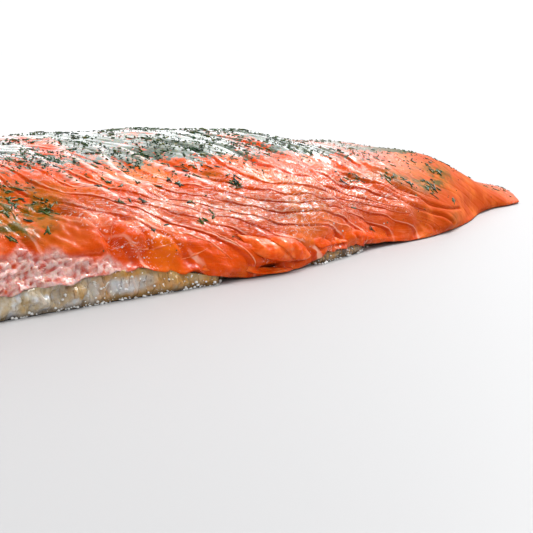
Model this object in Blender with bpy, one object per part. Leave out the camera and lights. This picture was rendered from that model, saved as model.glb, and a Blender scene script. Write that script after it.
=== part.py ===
"""Gravlax: the tail half of a cured salmon side, lying skin down, with chopped dill on it.

Two pieces lie on each other. The skin, with the fat under it, is the thin slab below, and it
shows as a pale band along the back edge, which is the fillet's front edge here. The flesh lies on
it, from the straight cut at the thick end to the thin tip of the tail. Chopped dill is fused on.

X runs along the fillet towards the tail, Y across it from the back edge (low) to the belly edge
(high), and Z up from the surface it lies on. Lengths named below are in millimetres.
"""

import math

import bmesh
import bpy
import numpy as np
from mathutils import Matrix, Vector

MM = 0.001

# The fillet's plan and height, given at stations along its length
STATION = (-164, -98, -44, -4, 36, 71, 104, 126, 138, 148, 158, 164)
BACK_EDGE = (-59, -60.2, -63.8, -67.0, -60, -59.5, -50, -40, -37, -37, -34, -27)
BELLY_EDGE = (66, 68, 65, 58, 47, 34, 19, 7, 0, -7, -14, -21)
RIDGE_HEIGHT = (33, 34, 35, 35, 31.5, 27.2, 22.5, 17, 10, 6.2, 4.4, 3.4)
RIDGE_PLACE = 0.5
CUT_LEAN = 0.16

# The pale band of skin and fat that shows under the flesh along the back edge
BAND_STATION = (-164, -81, -56, -42, -33, -24, 2, 12, 24, 40, 60, 164)
BAND_HEIGHT = (7.0, 6.6, 7.2, 4.4, 2.4, 0.5, 0.4, 2.7, 2.9, 1.4, 0.9, 0.6)
BAND_DEPTH = 24.0
SKIN_THICKNESS = 1.5
SKIN_SET_BACK = 4.5
SKIN_PROUD = 0.8
SKIN_TAIL_END = 162.0
SEAM = 0.3

# The muscle blocks: where each row starts on the top, and how far it slants to the tail
BLOCK_STATION = (-164, -110, -90, -78, -65, -50, -35, -15, 5, 30, 60, 100, 164)
BLOCK_LENGTH = (12.0, 12.0, 9.0, 6.5, 6.5, 7.5, 9.5, 14.0, 18.0, 15.0, 12.0, 10.0, 7.0)
SLANT_STATION = (-164, -120, -95, -85, -73, -60, -48, -38, -25, -12, 20, 60, 100, 130, 164)
SLANT = (0, 3, 8, 20, 46, 62, 74, 82, 84, 83, 57, 42, 30, 17, 0)
SLANT_SHARES = (0.02, 0.29)
BELLY_SLANT = 0.45
RINGS_IN_BLOCK = (0.0, 0.25, 0.7)
GROOVE_DEPTH = 0.75
BLOCK_SWELL = 0.6

# Single swellings and hollows of the soft flesh: place along X, share of the way across, half
# length along X, half width as a share, and height
LOBES = (
    (-71, 0.125, 12, 0.055, 2.0), (-63.5, 0.10, 2.6, 0.075, -2.2), (-48, 0.07, 11, 0.05, 1.3),
    (-10, 0.065, 11, 0.035, 2.0), (-13, 0.022, 6, 0.014, -1.8), (30, 0.03, 7, 0.03, 1.2),
    (81, 0.04, 7, 0.05, 1.3), (112, 0.08, 13, 0.05, -0.8), (-79, 0.265, 10, 0.045, -1.3),
    (-118, 0.16, 16, 0.07, 1.4), (-142, 0.10, 9, 0.06, -1.0), (-20, 0.78, 20, 0.08, 1.4),
    (-90, 0.84, 16, 0.06, -1.2), (45, 0.70, 14, 0.08, 1.0),
)

# How finely the flesh and the skin are divided
POINTS_ACROSS = 32
UNDER_NEAR_EDGE = (1.6, 4.1)
UNDER_SHARES = (0.1, 0.2, 0.45, 0.75)
SKIN_RINGS = 62
SKIN_POINTS_ACROSS = 8

# Chopped dill
DILL_COUNT = 92
DILL_HALF_SIZE = (1.7, 0.62, 0.55)
DILL_SEED = 7


def smooth_curve(stations, values, x):
    """A smooth curve through the values at the stations, read at x."""
    stations, values = np.asarray(stations, float), np.asarray(values, float)
    gap = np.diff(stations)
    slope = np.diff(values) / gap
    tangent = np.empty_like(values)
    tangent[0], tangent[-1] = slope[0], slope[-1]
    tangent[1:-1] = (slope[:-1] * gap[1:] + slope[1:] * gap[:-1]) / (gap[1:] + gap[:-1])
    i = np.clip(np.searchsorted(stations, x) - 1, 0, len(gap) - 1)
    t = np.clip((x - stations[i]) / gap[i], 0, 1)
    start = (2 * t**3 - 3 * t**2 + 1) * values[i] + (t**3 - 2 * t**2 + t) * gap[i] * tangent[i]
    end = (3 * t**2 - 2 * t**3) * values[i + 1] + (t**3 - t**2) * gap[i] * tangent[i + 1]
    return start + end


def ease(t):
    """0 below 0, 1 above 1, and a smooth rise between."""
    t = np.clip(t, 0, 1)
    return t * t * (3 - 2 * t)


def band_height(x):
    return smooth_curve(BAND_STATION, BAND_HEIGHT, x)


def edges(x):
    """The back edge and the belly edge of the fillet at x."""
    return smooth_curve(STATION, BACK_EDGE, x), smooth_curve(STATION, BELLY_EDGE, x)


def skin_front(x):
    """How far the skin's edge lies behind the flesh's, at x: a little in front where the band
    shows, and well behind where the flesh droops over it."""
    shows = ease((band_height(x) - 0.8) / 1.6)
    return SKIN_SET_BACK + (-SKIN_PROUD - SKIN_SET_BACK) * shows


def skin_top(x, inward):
    """Height of the skin's upper side at x, at a distance inward from the flesh's back edge."""
    tail = 1 - 0.45 * ease((x - 110) / 50)
    thick = np.maximum(band_height(x) - SKIN_THICKNESS, 0) * (1 - ease(inward / BAND_DEPTH))
    return SKIN_THICKNESS * tail + thick


def flesh_under(x, inward):
    """Height of the flesh's underside: on the skin inside, and down at the lip at its edge."""
    lip = band_height(x) + SEAM
    bed = skin_top(x, inward) + SEAM * (1 + 0.8 * ease((inward - 1.5) / 2.5))
    return lip + (bed - lip) * ease((inward - 0.8) / (SKIN_SET_BACK - 1.6))


def slanted(u, s):
    """x of the point at share s across the row of muscle that starts on top at u. Rows bend
    towards the tail as they come down to either edge."""
    slant = smooth_curve(SLANT_STATION, SLANT, u)
    low, high = SLANT_SHARES
    down_back = 1 - ease((s - low) / (high - low))
    down_belly = 1 - ease((1 - s - low) / (high - low))
    return u + slant * (down_back + BELLY_SLANT * down_belly)


def block_number(u):
    """Counts the muscle blocks along the top: a groove lies at each whole number."""
    fine = np.linspace(STATION[0], STATION[-1], 2001)
    steps = np.diff(fine) / smooth_curve(BLOCK_STATION, BLOCK_LENGTH, (fine[1:] + fine[:-1]) / 2)
    return np.interp(u, fine, np.concatenate([[0], np.cumsum(steps)]))


def flesh_section(x, s):
    """The smooth upper side of the flesh. s runs from 0 at the back edge over the ridge to 1 at
    the belly edge: a steep, full curve in front and a flatter one behind."""
    back, belly = edges(x)
    ridge = smooth_curve(STATION, RIDGE_HEIGHT, x)
    angle = np.pi * s
    across = 1 - np.abs(np.cos(angle))
    across = np.where(s < 0.5, RIDGE_PLACE * across, 1 - (1 - RIDGE_PLACE) * across)
    y = back + (belly - back) * across
    foot = np.where(s < 0.5, flesh_under(x, 0.0), flesh_under(x, belly - back))
    rise = np.abs(np.sin(angle)) ** np.where(s < 0.5, 1.05, 1.33)
    z = foot + (ridge - foot) * rise
    return y, z


def flesh_relief(u, x, s):
    """How far the surface stands out: grooves between the muscle blocks, each block's own swell,
    and the slow waves of a soft fillet. It fades out at the edges."""
    share = np.mod(block_number(u), 1.0)
    near_groove = np.minimum(share, 1 - share)
    front = 1 - ease((s - 0.30) / 0.25)
    strength = (0.45 + 0.55 * front) * ease((x + 150) / 60)
    blocks = BLOCK_SWELL * np.sqrt(np.sin(np.pi * share)) - GROOVE_DEPTH * np.exp(-((near_groove / 0.12) ** 2))
    lobes = sum(rise * np.exp(-(((x - at) / length) ** 2) - ((s - place) / wide) ** 2)
                for at, place, length, wide, rise in LOBES)
    waves = 0.9 * np.sin(x / 13.0 + 5 * s) * np.sin(7 * s + x / 31.0) + 0.5 * np.sin(x / 6.1 - 9 * s)
    fade = ease(s / 0.03) * ease((1 - s) / 0.06) * ease((STATION[-1] - x) / 12)
    return (blocks * strength + lobes + waves) * fade


def flesh_rings():
    """Closed rings of points round the flesh, one after the other from the cut to the tail. Each
    follows a row of muscle over the top and comes back underneath."""
    last = block_number(np.array([STATION[-1]]))[0]
    numbers = [n + r for n in range(int(last) + 1) for r in RINGS_IN_BLOCK if 0.1 < n + r < last - 0.1]
    fine = np.linspace(STATION[0], STATION[-1], 4001)
    starts = np.interp(np.array([0.0, *numbers, last]), block_number(fine), fine)
    s = (1 - np.cos(np.pi * np.linspace(0, 1, POINTS_ACROSS) ** 0.92)) / 2
    s = 0.35 * s + 0.65 * np.linspace(0, 1, POINTS_ACROSS)
    u, share = np.meshgrid(starts, s, indexing="ij")
    x = slanted(u, share)
    y, z = flesh_section(x, share)
    top = np.stack([x, y, z], -1)
    outward = np.cross(np.gradient(top, axis=0), np.gradient(top, axis=1))
    outward /= np.maximum(np.linalg.norm(outward, axis=-1, keepdims=True), 1e-9)
    top += outward * flesh_relief(u, x, share)[..., None]
    top[..., 2] = np.maximum(top[..., 2], 0.5)
    under = [under_point(starts, lambda width, share=share: share * width) for share in UNDER_SHARES[::-1]]
    under += [under_point(starts, lambda width, near=near: np.minimum(near, width * near / 50)) for near in UNDER_NEAR_EDGE[::-1]]
    return lean_cut(np.concatenate([top, np.stack(under, axis=1)], axis=1))


def under_point(starts, inward_of):
    """One point on the flesh's underside for each row of muscle, at a distance inward from the
    back edge that inward_of gives for the fillet's width there."""
    low, high = slanted(starts, 0.0), slanted(starts, 1.0)
    x = low
    for _ in range(3):
        back, belly = edges(x)
        inward = inward_of(belly - back)
        x = low + (high - low) * inward / (belly - back)
    return np.stack([x, back + inward, flesh_under(x, inward)], -1)


def lean_cut(points):
    """The knife leaned as it cut the thick end off, so the top there lies a little further back."""
    near = 1 - ease((points[..., 0] - STATION[0]) / 30)
    points[..., 0] += CUT_LEAN * points[..., 2] * near
    return points


def skin_rings():
    """Closed rings of points round the skin, flat below, with the band bulging out in front."""
    x = np.linspace(STATION[0], SKIN_TAIL_END, SKIN_RINGS)[:, None]
    back, belly = edges(x)
    front = skin_front(x)
    inset = 0.5 + 0 * x
    across = np.array([0.0, 0.05, 0.1, 0.17, 0.26, 0.45, 0.72, 1.0])[None]
    inward = front + (belly - back - inset - front) * across
    top = np.stack(np.broadcast_arrays(x, back + inward, skin_top(x, np.maximum(inward, 0))), -1)
    bulge = np.array([[0.0, 0.55, 0.35]]) * np.minimum(band_height(x) / 5, 1)
    lumps = 1 + 0.45 * np.sin(x / 2.3) * np.sin(x / 5.9 + 1)
    face_y = back + front - bulge * lumps
    face_z = np.array([[0.0, 0.35, 0.75]]) * top[:, :1, 2]
    face = np.stack(np.broadcast_arrays(x, face_y, face_z), -1)
    below_y = back + front + (belly - back - inset - front) * np.array([[1.0, 0.5]])
    below = np.stack(np.broadcast_arrays(x, below_y, 0.0), -1)
    return lean_cut(np.concatenate([face, top, below], axis=1))


def solid_from_rings(name, rings):
    """A closed mesh object: each ring joined to the next, and both ends filled."""
    count, points = rings.shape[:2]
    ring, point = np.meshgrid(np.arange(count - 1), np.arange(points), indexing="ij")
    after = (point + 1) % points
    sides = np.stack([ring * points + point, ring * points + after,
                      (ring + 1) * points + after, (ring + 1) * points + point], -1)
    faces = [tuple(int(i) for i in face) for face in sides.reshape(-1, 4)]
    faces += [tuple(range(points))[::-1], tuple(range((count - 1) * points, count * points))]
    mesh = bpy.data.meshes.new(name)
    mesh.from_pydata((rings.reshape(-1, 3) * MM).tolist(), [], faces)
    shell = bmesh.new()
    shell.from_mesh(mesh)
    bmesh.ops.triangulate(shell, faces=shell.faces[:])
    bmesh.ops.recalc_face_normals(shell, faces=shell.faces[:])
    shell.to_mesh(mesh)
    shell.free()
    made = bpy.data.objects.new(name, mesh)
    bpy.context.scene.collection.objects.link(made)
    return made


def dill_places():
    """Where the dill lies: thick along the top and over to the belly side, sparse on the slope in
    front. Each place is its point, its outward direction and its turn."""
    draw = np.random.default_rng(DILL_SEED)
    found = []
    while len(found) < DILL_COUNT:
        u, s = draw.uniform(-150, 150), draw.uniform(0.09, 0.93)
        thick = 0.16 + 0.84 * ease((s - 0.26) / 0.12) * (1 - 0.6 * ease((s - 0.75) / 0.15))
        x = float(slanted(u, s))
        width = float(np.diff(edges(np.array(x)), axis=0)[0])
        if draw.uniform() > thick * width / 130 or not -148 < x < 150:
            continue
        near = np.array([[u, s], [u + 0.4, s], [u, s + 0.004]])
        px = slanted(near[:, 0], near[:, 1])
        py, pz = flesh_section(px, near[:, 1])
        points = np.stack([px, py, pz], -1)
        outward = np.cross(points[1] - points[0], points[2] - points[0])
        outward /= np.linalg.norm(outward)
        place = points[0] + outward * (flesh_relief(near[0, 0], px[0], near[0, 1]) + 0.15)
        if any(np.linalg.norm(place - other[0]) < 2.6 * DILL_HALF_SIZE[0] for other in found):
            continue
        found.append((place, outward, draw.uniform(0, math.pi), draw.uniform(0.75, 1.25)))
    return found


def dill_bits(collection):
    """One small faceted lump for each bit of dill, lying along the surface."""
    for number, (place, outward, turn, size) in enumerate(dill_places()):
        mesh = bpy.data.meshes.new(f"dill_{number}")
        lump = bmesh.new()
        bmesh.ops.create_icosphere(lump, subdivisions=1, radius=1.0)
        lump.to_mesh(mesh)
        lump.free()
        stand = Vector(outward).to_track_quat("Z", "Y").to_matrix().to_4x4()
        shape = Matrix.Diagonal([h * MM * size for h in DILL_HALF_SIZE] + [1.0])
        mesh.transform(Matrix.Translation(Vector(place) * MM) @ stand @ Matrix.Rotation(turn, 4, "Z") @ shape)
        collection.objects.link(bpy.data.objects.new(f"dill_{number}", mesh))


def fuse_dill(flesh):
    """Joins the dill to the flesh, and removes the separate bits."""
    bits = bpy.data.collections.new("dill")
    bpy.context.scene.collection.children.link(bits)
    dill_bits(bits)
    join = flesh.modifiers.new("dill", "BOOLEAN")
    join.operation, join.operand_type, join.collection, join.solver = "UNION", "COLLECTION", bits, "MANIFOLD"
    bpy.context.view_layer.update()
    joined = bpy.data.meshes.new_from_object(flesh.evaluated_get(bpy.context.evaluated_depsgraph_get()))
    flesh.modifiers.clear()
    flesh.data = joined
    for bit in list(bits.objects):
        bpy.data.objects.remove(bit)
    bpy.data.collections.remove(bits)


def finish(made, name, colour, roughness):
    """Gives a piece its material, with its faces shaded smooth apart from sharp edges."""
    material = bpy.data.materials.new(name)
    material.use_nodes = True
    shader = material.node_tree.nodes["Principled BSDF"]
    shader.inputs["Base Color"].default_value = (*colour, 1)
    shader.inputs["Roughness"].default_value = roughness
    made.data.materials.clear()
    made.data.materials.append(material)
    made.data.shade_smooth()
    made.data.set_sharp_from_angle(angle=math.radians(50))


def main():
    for old in list(bpy.data.objects):
        bpy.data.objects.remove(old)
    skin = solid_from_rings("skin", skin_rings())
    finish(skin, "skin", (0.50, 0.42, 0.30), 0.35)
    flesh = solid_from_rings("flesh", flesh_rings())
    fuse_dill(flesh)
    finish(flesh, "salmon flesh", (0.82, 0.25, 0.09), 0.3)


main()
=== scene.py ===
"""Gravlax: the looks of the tail half of a cured salmon side with chopped dill.

Lengths of the pieces are in millimetres, and MM turns them into the frame's metres. Paints read
Object coordinates, and lights and camera stand, in metres.
"""

import math

import bpy
import numpy as np
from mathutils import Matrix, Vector


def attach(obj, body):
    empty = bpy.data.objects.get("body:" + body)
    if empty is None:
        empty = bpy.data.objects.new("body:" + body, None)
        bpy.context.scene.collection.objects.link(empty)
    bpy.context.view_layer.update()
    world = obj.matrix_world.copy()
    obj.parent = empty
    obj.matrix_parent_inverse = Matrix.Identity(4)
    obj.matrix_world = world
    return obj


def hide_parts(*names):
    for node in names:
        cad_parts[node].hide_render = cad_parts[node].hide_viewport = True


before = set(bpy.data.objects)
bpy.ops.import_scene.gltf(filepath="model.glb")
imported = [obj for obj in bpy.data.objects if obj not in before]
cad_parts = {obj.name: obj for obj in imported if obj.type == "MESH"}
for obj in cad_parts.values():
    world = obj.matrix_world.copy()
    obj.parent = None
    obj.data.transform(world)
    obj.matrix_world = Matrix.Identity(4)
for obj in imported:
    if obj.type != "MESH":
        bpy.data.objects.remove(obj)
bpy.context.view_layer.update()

# The skin and the fat under it: a thin slab that runs through under the flesh and stands out
# along the back edge as a lumpy, glassy band. Its outside, on which the fillet lies, has the
# scales: dark along the back and silver towards the belly.
MM = 0.001
STATION = (-164, -98, -44, -4, 36, 71, 104, 126, 138, 148, 158, 164)
BACK_EDGE = (-59, -60.2, -63.8, -67.0, -60, -59.5, -50, -40, -37, -37, -34, -27)
BELLY_EDGE = (66, 68, 65, 58, 47, 34, 19, 7, 0, -7, -14, -21)
BAND_STATION = (-164, -81, -56, -42, -33, -24, 2, 12, 24, 40, 60, 164)
BAND_HEIGHT = (7.0, 6.6, 7.2, 4.4, 2.4, 0.5, 0.4, 2.7, 2.9, 1.4, 0.9, 0.6)
BAND_DEPTH = 24.0
SKIN_THICKNESS = 1.5
SKIN_SET_BACK = 4.5
SKIN_PROUD = 0.8
SKIN_TAIL_END = 162.0
CUT_LEAN = 0.16
SKIN_RINGS = 760
FACE_POINTS = 18
BELOW_POINTS = 14
ACROSS_SHARES = (0.015, 0.035, 0.06, 0.1, 0.17, 0.26, 0.45, 0.72, 0.95, 1.0)
FACE_BULGE = 0.5
BELLY_GAP = 0.5
RIPPLE_GAIN = 1.6 / 1.4
FAT_LUMP = 0.55
FAT_AMBER = (0.54, 0.25, 0.045)
FAT_BROWN = (0.17, 0.105, 0.055)
FAT_OCHRE = (0.45, 0.31, 0.13)
FAT_PALE = (0.6, 0.53, 0.44)
FAT_PAINTED_SHEEN = (0.66, 0.7, 0.76)
FAT_PAINTED_SHADE = (0.085, 0.045, 0.018)
FAT_ORANGE = (0.55, 0.1, 0.012)
FAT_GLINT = (0.93, 0.93, 0.9)
SCALE_SILVER = (0.52, 0.54, 0.54)
SCALE_BACK = (0.055, 0.065, 0.06)
SCALE_GAP = (0.015, 0.017, 0.016)
SCALE_SPOT = (0.01, 0.011, 0.01)


def columns(*arrays):
    """The arrays and numbers side by side along a new last axis, each repeated to one shape."""
    return np.stack(np.broadcast_arrays(*arrays), -1)


def smooth_curve(stations, values, x):
    """A curve through the values at the stations: on each stretch the cubic whose end slopes are
    the neighbouring stretches' slopes, each weighted by the other's length."""
    stations, values = np.asarray(stations, float), np.asarray(values, float)
    gap = np.diff(stations)
    slope = np.diff(values) / gap
    tangent = np.empty_like(values)
    tangent[0], tangent[-1] = slope[0], slope[-1]
    tangent[1:-1] = (slope[:-1] * gap[1:] + slope[1:] * gap[:-1]) / (gap[1:] + gap[:-1])
    i = np.clip(np.searchsorted(stations, x) - 1, 0, len(gap) - 1)
    t = np.clip((x - stations[i]) / gap[i], 0, 1)
    start = (2 * t**3 - 3 * t**2 + 1) * values[i] + (t**3 - 2 * t**2 + t) * gap[i] * tangent[i]
    end = (3 * t**2 - 2 * t**3) * values[i + 1] + (t**3 - t**2) * gap[i] * tangent[i + 1]
    return start + end


def ease(t):
    """0 below 0, 1 above 1, and three t squared less two t cubed between."""
    t = np.clip(t, 0, 1)
    return t * t * (3 - 2 * t)


def bell(t):
    """1 at 0, falling to nothing on either side: e to the minus t squared."""
    return np.exp(-(t**2))


def ripple(points, size, seed, waves=14):
    """A smooth random value of about -1 to 1 at each point: the mean of sine waves in random
    directions, with crests about size apart."""
    draw = np.random.default_rng(seed)
    total = np.zeros(points.shape[:-1])
    for _ in range(waves):
        way = draw.normal(size=3)
        way *= 2 * np.pi / (size * draw.uniform(0.7, 1.5) * np.linalg.norm(way))
        total += np.sin(points @ way + draw.uniform(0, 2 * np.pi))
    return total * RIPPLE_GAIN / waves**0.5


def edges(x):
    """y of the back edge and of the belly edge of the fillet at x."""
    return smooth_curve(STATION, BACK_EDGE, x), smooth_curve(STATION, BELLY_EDGE, x)


def band_height(x):
    """Height of the band that shows along the back edge at x."""
    return smooth_curve(BAND_STATION, BAND_HEIGHT, x)


def skin_front(x):
    """Distance of the skin's edge behind the flesh's back edge: a little in front of it where
    the band is tall, and well behind it where the flesh droops over."""
    shows = ease((band_height(x) - 0.8) / 1.6)
    return SKIN_SET_BACK + (-SKIN_PROUD - SKIN_SET_BACK) * shows


def skin_top(x, inward):
    """Height of the skin's upper side at a distance inward from the flesh's back edge: its own
    thickness, plus the fat, which thins out inward."""
    tail = 1 - 0.45 * ease((x - 110) / 50)
    thick = np.maximum(band_height(x) - SKIN_THICKNESS, 0) * (1 - ease(inward / BAND_DEPTH))
    return SKIN_THICKNESS * tail + thick


def lean_cut(points):
    """The points near the thick end moved along X by a share of their height, because the knife
    leaned as it cut."""
    near = 1 - ease((points[..., 0] - STATION[0]) / 30)
    points[..., 0] += CUT_LEAN * points[..., 2] * near
    return points


def skin_rings():
    """Closed rings across the skin, one for each x. Going round: up the front face, which bulges
    by half a sine of the height and carries the lumps of fat, over the top, and back below."""
    x = np.linspace(STATION[0], SKIN_TAIL_END, SKIN_RINGS)[:, None]
    back, belly = edges(x)
    front = skin_front(x)
    span = belly - back - BELLY_GAP - front
    rise = np.linspace(0, 1, FACE_POINTS)[None]
    tall = np.minimum(band_height(x) / 5, 1)
    bulge = FACE_BULGE * tall * np.sin(np.pi * rise)
    face = columns(x, back + front - bulge, skin_top(x, np.maximum(front, 0)) * rise)
    left = 1 - ease((x + 85) / 25)
    lumps = (FAT_LUMP + 0.35 * left) * ripple(face * (1, 1, 0.7), 4.2, 3)
    lumps += 0.28 * ripple(face * (1, 1, 0.35), 1.7, 4)
    lumps += 0.4 * ripple(face * (1, 1, 0.6), 8.0, 5) + 0.12 * ripple(face, 1.1, 6)
    held = np.sin(np.pi * np.clip(rise * 0.94 + 0.03, 0, 1)) ** 0.6
    face[..., 1] -= lumps * tall * held * (1 - 0.7 * ease((rise - 0.65) / 0.35))
    inward = front + span * np.array(ACROSS_SHARES)[None]
    top = columns(x, back + inward, skin_top(x, np.maximum(inward, 0)))
    below = columns(x, back + front + span * np.linspace(1, 0, BELOW_POINTS)[None, :-1], 0.0)
    return lean_cut(np.concatenate([face, top, below], axis=1))


def ring_quads(count, around):
    """Corner numbers of the faces between rings of points, each ring joined to the next."""
    ring, point = np.meshgrid(np.arange(count - 1) * around, np.arange(around), indexing="ij")
    after = (point + 1) % around
    quads = columns(ring + point, ring + around + point, ring + around + after, ring + after)
    return quads.reshape(-1, 4)


def closed_rings(name, rings, end_rings=1):
    """A closed smooth mesh: each ring joined to the next, and both ends drawn in to their middle
    by rings of falling size."""
    size = np.linspace(0, 1, end_rings + 1)[1:-1, None, None]
    first, last = (end.mean(0) + (end - end.mean(0)) * share
                   for end, share in ((rings[0], size), (rings[-1], size[::-1])))
    rings = np.concatenate([first, rings, last])
    count, around = rings.shape[:2]
    step = np.arange(around)
    last_ring = (count - 1) * around
    fans = np.concatenate([
        columns(step, (step + 1) % around, count * around),
        columns(last_ring + (step + 1) % around, last_ring + step, count * around + 1)])
    points = np.concatenate([rings.reshape(-1, 3), rings[[0, -1]].mean(1)])
    return surface(name, points, ring_quads(count, around), fans)


def surface(name, points, *face_groups):
    """A smooth-shaded mesh object from points in millimetres and arrays of face corners."""
    mesh = bpy.data.meshes.new(name)
    points = points.reshape(-1, 3) * MM
    mesh.vertices.add(len(points))
    mesh.vertices.foreach_set("co", points.astype(np.float32).ravel())
    corners = np.concatenate([faces.ravel() for faces in face_groups]).astype(np.int32)
    sides = np.concatenate([np.full(len(faces), faces.shape[1]) for faces in face_groups])
    mesh.loops.add(len(corners))
    mesh.loops.foreach_set("vertex_index", corners)
    mesh.polygons.add(len(sides))
    mesh.polygons.foreach_set("loop_start", (np.cumsum(sides) - sides).astype(np.int32))
    mesh.update(calc_edges=True)
    mesh.validate()
    mesh.shade_smooth()
    made = bpy.data.objects.new(name, mesh)
    bpy.context.scene.collection.objects.link(made)
    return made


def operator(operation, swapped=False):
    """A method that adds a Math node for a tone and another value, or for the two swapped."""
    def method(self, other):
        return self.math(operation, *((other, self) if swapped else (self, other)))
    return method


class Tone:
    """A number or a colour that varies over a surface. Arithmetic on it adds Math nodes."""

    __add__ = __radd__ = operator("ADD")
    __sub__, __rsub__ = operator("SUBTRACT"), operator("SUBTRACT", swapped=True)
    __mul__ = __rmul__ = operator("MULTIPLY")
    __pow__ = operator("POWER")
    most = operator("MAXIMUM")

    def __init__(self, paint, socket):
        self.paint, self.socket = paint, socket

    def math(self, operation, *values):
        return self.paint.node("Math", {"operation": operation}, dict(enumerate(values)))

    def fraction(self):
        return self.math("FRACT", self)

    def between(self, low, high):
        """0 at low, 1 at high, eased between."""
        return self.paint.node("MapRange", {"interpolation_type": "SMOOTHSTEP"},
                               {"Value": self, "From Min": low, "From Max": high})

    def mix(self, none, full):
        """The colour none where this is 0, and full where it is 1."""
        return self.paint.node("Mix", {"data_type": "RGBA"}, {0: self, 6: none, 7: full}, 2)


class Nodes:
    """A node tree, and the one method that adds nodes to it."""

    def __init__(self, tree):
        self.tree = tree

    def node(self, kind, settings=None, values=None, out=0):
        """Adds a node: its settings first, then its sockets' values or links."""
        made = self.tree.nodes.new("ShaderNode" + kind)
        for setting, value in (settings or {}).items():
            setattr(made, setting, value)
        for socket, value in (values or {}).items():
            if isinstance(value, Tone):
                self.tree.links.new(value.socket, made.inputs[socket])
                continue
            colour = made.inputs[socket].type == "RGBA" and len(value) == 3
            made.inputs[socket].default_value = (*value, 1) if colour else value
        return Tone(self, made.outputs[out])


class Paint(Nodes):
    """A material round one Principled shader, whose constants are set on its own sockets."""

    def __init__(self, name, **constants):
        self.material = bpy.data.materials.new(name)
        self.material.use_nodes = True
        super().__init__(self.material.node_tree)
        self.shader = self.tree.nodes["Principled BSDF"]
        self.spot = self.node("TexCoord", out="Object")
        for socket, value in constants.items():
            self.shader.inputs[socket.replace("_", " ")].default_value = value

    def axes(self):
        """x, y and z of the Object coordinates, in metres."""
        return [self.node("SeparateXYZ", {}, {0: self.spot}, axis) for axis in range(3)]

    def stretched(self, scale):
        """The Object coordinates, each times its own scale."""
        return self.node("VectorMath", {"operation": "MULTIPLY"}, {0: self.spot, 1: scale})

    def noise(self, scale, detail=2.0, roughness=0.5, distortion=0.0, over=None):
        """Noise of about 0 to 1 with features about one over scale apart."""
        return self.node("TexNoise", {}, {
            "Vector": over or self.spot, "Scale": scale, "Detail": detail, "Roughness": roughness,
            "Distortion": distortion})

    def cells(self, scale, over=None, **settings):
        """Distance from the nearest of scattered points, about one over scale apart."""
        return self.node("TexVoronoi", settings, {"Vector": over or self.spot, "Scale": scale})

    def attribute(self, name):
        return self.node("Attribute", {"attribute_name": name}, out="Fac")

    def feed(self, **tones):
        for socket, tone in tones.items():
            self.tree.links.new(tone.socket, self.shader.inputs[socket.replace("_", " ")])

    def bump(self, *layers):
        """Bump nodes one on the other, each from (height, distance in metres)."""
        normal = None
        for height, distance in layers:
            values = {"Height": height, "Distance": distance, "Strength": 1.0}
            if normal:
                values["Normal"] = normal
            normal = self.node("Bump", {}, values)
        self.feed(Normal=normal)

    def on(self, *pieces):
        for piece in pieces:
            piece.data.materials.clear()
            piece.data.materials.append(self.material)


def layered(base, *layers):
    """The base colour with each layer's colour laid over it by its mask."""
    for mask, colour in layers:
        base = mask.mix(base, colour)
    return base


skin = closed_rings("skin_and_fat", skin_rings())
fat = Paint("skin and fat", Subsurface_Weight=0.5, Subsurface_Radius=(1.0, 0.7, 0.45),
            Subsurface_Scale=0.002, IOR=1.45, Coat_Roughness=0.05)
x, y, z = fat.axes()
blotch = fat.noise(260, 3, 0.55, over=fat.stretched((1, 1, 0.7)))
flute = fat.noise(620, 2, 0.5, 1.2, over=fat.stretched((1, 0.4, 0.45)))
towards_tail = x.between(-0.085, -0.062)
lumpy = blotch.between(0.28, 0.72).mix(FAT_OCHRE, FAT_PALE)
syrupy = blotch.between(0.34, 0.74).mix(FAT_AMBER, FAT_OCHRE)
by_tail = x.between(-0.006, 0.002)
# Painted sheen: a bluish-white highlight patch and spots of sheen laid into the band's colour.
band_highlight_patch = x.between(-0.076, -0.067) * x.between(-0.05, -0.06) * blotch.between(0.22, 0.6)
band_highlight_patch = band_highlight_patch * z.between(0.0008, 0.0028) * z.between(0.0064, 0.0046) * 0.9
band_sheen_spots = fat.noise(380, over=fat.stretched((1, 1, 0.8))).between(0.42, 0.74)
band_painted_sheen = (band_sheen_spots * (1 - towards_tail * 0.9)).most(band_highlight_patch) * (1 - by_tail * 0.6) * 0.85
glint = fat.noise(900).between(0.46, 0.56)
band = layered(
    towards_tail.mix(lumpy, syrupy),
    (by_tail * flute.between(0.62, 0.4), FAT_BROWN),
    (x.between(0.048, 0.062), FAT_ORANGE),
    (band_painted_sheen, FAT_PAINTED_SHEEN),
    # Painted shade down the hollows of the flutes.
    (flute.between(0.44, 0.28) * (towards_tail * 0.4 + 0.35), FAT_PAINTED_SHADE),
    # Painted glints: small white specks low on the band.
    (fat.noise(800).between(0.63, 0.68) * z.between(0.0, 0.003) * towards_tail, FAT_GLINT),
    # Painted shade along the foot, where the band meets the surface below.
    (z.between(0.0019, 0.0004) * x.between(0.062, 0.048) * 0.65, FAT_PAINTED_SHADE))
# The outside: square cells turned by an eighth of a turn, and dark spots along the back.
turned = fat.node("VectorRotate", {"rotation_type": "Z_AXIS"},
                  {"Vector": fat.stretched((1.0, 1.35, 0.0)), "Angle": math.pi / 4})
row = fat.cells(300, turned, distance="CHEBYCHEV")
speckle = fat.cells(70).between(0.3, 0.22) * y.between(0.004, -0.03)
dorsal = (y + fat.noise(40) * 0.02).between(0.012, -0.035)
scales = row.between(0.25, 0.62).mix(dorsal.mix(SCALE_SILVER, SCALE_BACK), SCALE_GAP)
spotted = (speckle * 0.85).mix(scales, SCALE_SPOT)
below = z.between(0.00025, 0.0001)
fat.feed(Base_Color=below.mix(band, spotted), Roughness=flute * 0.2 + 0.06,
         Coat_Weight=glint * (1 - below))
fat.bump((flute, 0.0007), (fat.noise(1100) * (1 - below), 0.0005), (row * below, 0.0003))
fat.on(skin)
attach(skin, "root")
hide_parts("skin")

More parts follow.
